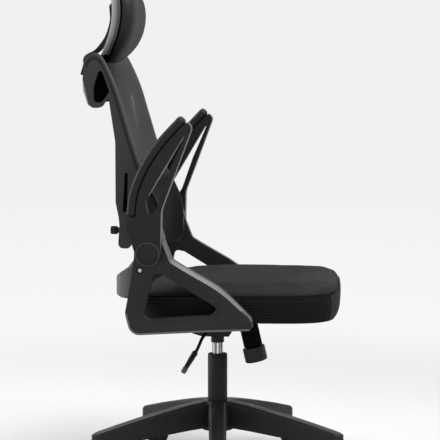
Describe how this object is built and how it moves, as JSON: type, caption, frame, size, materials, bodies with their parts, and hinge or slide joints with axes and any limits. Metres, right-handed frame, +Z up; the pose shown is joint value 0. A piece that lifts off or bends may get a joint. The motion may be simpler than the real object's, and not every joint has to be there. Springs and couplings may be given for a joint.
{
  "type": "office chair",
  "caption": "High-back office chair with a mesh back, a tilting headrest, flip-up arms and a padded seat on a gas lift, above a star base on casters.",
  "frame": {"origin": "on the floor, on the axis of the gas lift", "axes": "+Z up along the gas lift, +X the way the chair faces, -Y its right side"},
  "size_m": [0.689, 0.6568, 1.2347],
  "materials": {
    "black_nylon": "fine-grained satin black moulding",
    "soft_black_plastic": "soft matt black plastic",
    "charcoal_fabric": "woven charcoal cover over foam",
    "mesh_cloth": "open woven mesh",
    "black_steel": "black powder coat",
    "chrome": "polished",
    "zinc_steel": "zinc plated",
    "plywood": "bare board, covered"
  },
  "bodies": {
    "base": {"base_star": "black_nylon", "column_tube": "black_steel", "column_bush": "soft_black_plastic", "thrust_bearing": "zinc_steel", "caster_stem_1": "zinc_steel", "caster_stem_2": "zinc_steel", "caster_stem_3": "zinc_steel", "caster_stem_4": "zinc_steel", "caster_stem_5": "zinc_steel"},
    "caster_1": {"caster_hood_1": "black_nylon"},
    "caster_2": {"caster_hood_2": "black_nylon"},
    "caster_3": {"caster_hood_3": "black_nylon"},
    "caster_4": {"caster_hood_4": "black_nylon"},
    "caster_5": {"caster_hood_5": "black_nylon"},
    "wheel_1_a": {"caster_wheel_1_a": "soft_black_plastic"},
    "wheel_1_b": {"caster_wheel_1_b": "soft_black_plastic"},
    "wheel_2_a": {"caster_wheel_2_a": "soft_black_plastic"},
    "wheel_2_b": {"caster_wheel_2_b": "soft_black_plastic"},
    "wheel_3_a": {"caster_wheel_3_a": "soft_black_plastic"},
    "wheel_3_b": {"caster_wheel_3_b": "soft_black_plastic"},
    "wheel_4_a": {"caster_wheel_4_a": "soft_black_plastic"},
    "wheel_4_b": {"caster_wheel_4_b": "soft_black_plastic"},
    "wheel_5_a": {"caster_wheel_5_a": "soft_black_plastic"},
    "wheel_5_b": {"caster_wheel_5_b": "soft_black_plastic"},
    "piston": {"piston_rod": "zinc_steel"},
    "mechanism": {"gas_cylinder": "chrome", "mechanism_housing": "black_steel", "tilt_axle": "zinc_steel", "tension_spring": "black_steel"},
    "valve": {"valve_button": "zinc_steel"},
    "lever_slide": {"lever_carrier": "black_nylon"},
    "lever": {"lever_rod": "black_steel", "lever_handle": "black_nylon"},
    "tension": {"tension_bolt": "zinc_steel"},
    "knob": {"tension_knob": "black_nylon"},
    "seat": {"seat_plate": "black_steel", "seat_board": "plywood", "seat_cushion": "charcoal_fabric", "side_bracket_right": "black_nylon", "side_bracket_left": "black_nylon", "bracket_bolt_right": "zinc_steel", "bracket_bolt_left": "zinc_steel", "rear_crossbar": "black_nylon", "arm_bolt_right": "zinc_steel", "arm_bolt_left": "zinc_steel", "back_frame": "black_nylon", "back_mesh": "mesh_cloth"},
    "arm_right": {"arm_frame_right": "black_nylon", "arm_pad_right": "soft_black_plastic", "arm_cap_right": "black_nylon"},
    "arm_left": {"arm_frame_left": "black_nylon", "arm_pad_left": "soft_black_plastic", "arm_cap_left": "black_nylon"},
    "lumbar": {"lumbar_support": "black_nylon"},
    "lumbar_screw_right": {"lumbar_knob_right": "black_nylon"},
    "lumbar_screw_left": {"lumbar_knob_left": "black_nylon"},
    "head_stem": {"headrest_stem": "black_nylon", "headrest_pivot": "zinc_steel"},
    "headrest": {"headrest_shell": "black_nylon", "headrest_cushion": "charcoal_fabric"}
  },
  "joints": [
    {"name": "caster_swivel_1", "type": "hinge", "parent": "base", "child": "caster_1", "pos_m": [0.02409, -0.30605, 0.05], "axis": [0, 0, 1], "continuous": true},
    {"name": "caster_swivel_2", "type": "hinge", "parent": "base", "child": "caster_2", "pos_m": [0.29852, -0.07167, 0.05], "axis": [0, 0, 1], "continuous": true},
    {"name": "caster_swivel_3", "type": "hinge", "parent": "base", "child": "caster_3", "pos_m": [0.16041, 0.26176, 0.05], "axis": [0, 0, 1], "continuous": true},
    {"name": "caster_swivel_4", "type": "hinge", "parent": "base", "child": "caster_4", "pos_m": [-0.19938, 0.23345, 0.05], "axis": [0, 0, 1], "continuous": true},
    {"name": "caster_swivel_5", "type": "hinge", "parent": "base", "child": "caster_5", "pos_m": [-0.28363, -0.11748, 0.05], "axis": [0, 0, 1], "continuous": true},
    {"name": "wheel_spin_1_a", "type": "hinge", "parent": "caster_1", "child": "wheel_1_a", "pos_m": [0.04209, -0.32075, 0.025], "axis": [0, 1, 0], "continuous": true},
    {"name": "wheel_spin_1_b", "type": "hinge", "parent": "caster_1", "child": "wheel_1_b", "pos_m": [0.04209, -0.29135, 0.025], "axis": [0, 1, 0], "continuous": true},
    {"name": "wheel_spin_2_a", "type": "hinge", "parent": "caster_2", "child": "wheel_2_a", "pos_m": [0.31652, -0.08637, 0.025], "axis": [0, 1, 0], "continuous": true},
    {"name": "wheel_spin_2_b", "type": "hinge", "parent": "caster_2", "child": "wheel_2_b", "pos_m": [0.31652, -0.05697, 0.025], "axis": [0, 1, 0], "continuous": true},
    {"name": "wheel_spin_3_a", "type": "hinge", "parent": "caster_3", "child": "wheel_3_a", "pos_m": [0.17841, 0.24706, 0.025], "axis": [0, 1, 0], "continuous": true},
    {"name": "wheel_spin_3_b", "type": "hinge", "parent": "caster_3", "child": "wheel_3_b", "pos_m": [0.17841, 0.27646, 0.025], "axis": [0, 1, 0], "continuous": true},
    {"name": "wheel_spin_4_a", "type": "hinge", "parent": "caster_4", "child": "wheel_4_a", "pos_m": [-0.18138, 0.21874, 0.025], "axis": [0, 1, 0], "continuous": true},
    {"name": "wheel_spin_4_b", "type": "hinge", "parent": "caster_4", "child": "wheel_4_b", "pos_m": [-0.18138, 0.24815, 0.025], "axis": [0, 1, 0], "continuous": true},
    {"name": "wheel_spin_5_a", "type": "hinge", "parent": "caster_5", "child": "wheel_5_a", "pos_m": [-0.26563, -0.13218, 0.025], "axis": [0, 1, 0], "continuous": true},
    {"name": "wheel_spin_5_b", "type": "hinge", "parent": "caster_5", "child": "wheel_5_b", "pos_m": [-0.26563, -0.10278, 0.025], "axis": [0, 1, 0], "continuous": true},
    {"name": "seat_swivel", "type": "hinge", "parent": "base", "child": "piston", "pos_m": [0, 0, 0.1107], "axis": [0, 0, 1], "continuous": true},
    {"name": "column_lift", "type": "slide", "parent": "piston", "child": "mechanism", "axis": [0, 0, 1], "range_m": [-0.022, 0.068]},
    {"name": "valve_press", "type": "slide", "parent": "mechanism", "child": "valve", "axis": [0, 0, -1], "range_m": [0, 0.006]},
    {"name": "lever_pull", "type": "slide", "parent": "mechanism", "child": "lever_slide", "axis": [0, -1, 0], "range_m": [0, 0.01]},
    {"name": "lever_lift", "type": "hinge", "parent": "lever_slide", "child": "lever", "pos_m": [-0.01, -0.045, 0.3621], "axis": [-1, 0, 0], "range_deg": [0, 7.5], "stiffness_Nm_per_rad": 0.5, "springref_deg": -5.73},
    {"name": "seat_tilt", "type": "hinge", "parent": "mechanism", "child": "seat", "pos_m": [0.034, 0, 0.3721], "axis": [0, -1, 0], "range_deg": [0, 15], "stiffness_Nm_per_rad": 80, "springref_deg": -20.05, "deforming": ["tension_spring"]},
    {"name": "tension_slide", "type": "slide", "parent": "mechanism", "child": "tension", "axis": [-0.225, 0, 0.9744], "range_m": [0, 0.0117]},
    {"name": "knob_turn", "type": "hinge", "parent": "tension", "child": "knob", "pos_m": [0.0763, 0, 0.3761], "axis": [-0.225, 0, 0.9744], "continuous": true},
    {"name": "arm_flip_right", "type": "hinge", "parent": "seat", "child": "arm_right", "pos_m": [-0.141, -0.3215, 0.5801], "axis": [0, 1, 0], "range_deg": [0, 61]},
    {"name": "arm_flip_left", "type": "hinge", "parent": "seat", "child": "arm_left", "pos_m": [-0.141, 0.3215, 0.5801], "axis": [0, 1, 0], "range_deg": [0, 61]},
    {"name": "lumbar_slide", "type": "slide", "parent": "seat", "child": "lumbar", "axis": [0, 0, 1], "range_m": [-0.015, 0.03]},
    {"name": "lumbar_screw_turn_right", "type": "hinge", "parent": "lumbar", "child": "lumbar_screw_right", "pos_m": [-0.2145, -0.19, 0.6241], "axis": [1, 0, 0], "continuous": true},
    {"name": "lumbar_screw_turn_left", "type": "hinge", "parent": "lumbar", "child": "lumbar_screw_left", "pos_m": [-0.2145, 0.19, 0.6241], "axis": [1, 0, 0], "continuous": true},
    {"name": "headrest_slide", "type": "slide", "parent": "seat", "child": "head_stem", "axis": [0.2808, 0, 0.9598], "range_m": [0, 0.03]},
    {"name": "headrest_tilt", "type": "hinge", "parent": "head_stem", "child": "headrest", "pos_m": [-0.252, 0, 1.1741], "axis": [0, -1, 0], "range_deg": [0, 20]}
  ],
  "couplings": [
    {"joint": "valve_press", "follows": "lever_lift", "m_per_rad": 0.045},
    {"joint": "tension_slide", "follows": "seat_tilt", "m_per_rad": 0.0445}
  ]
}
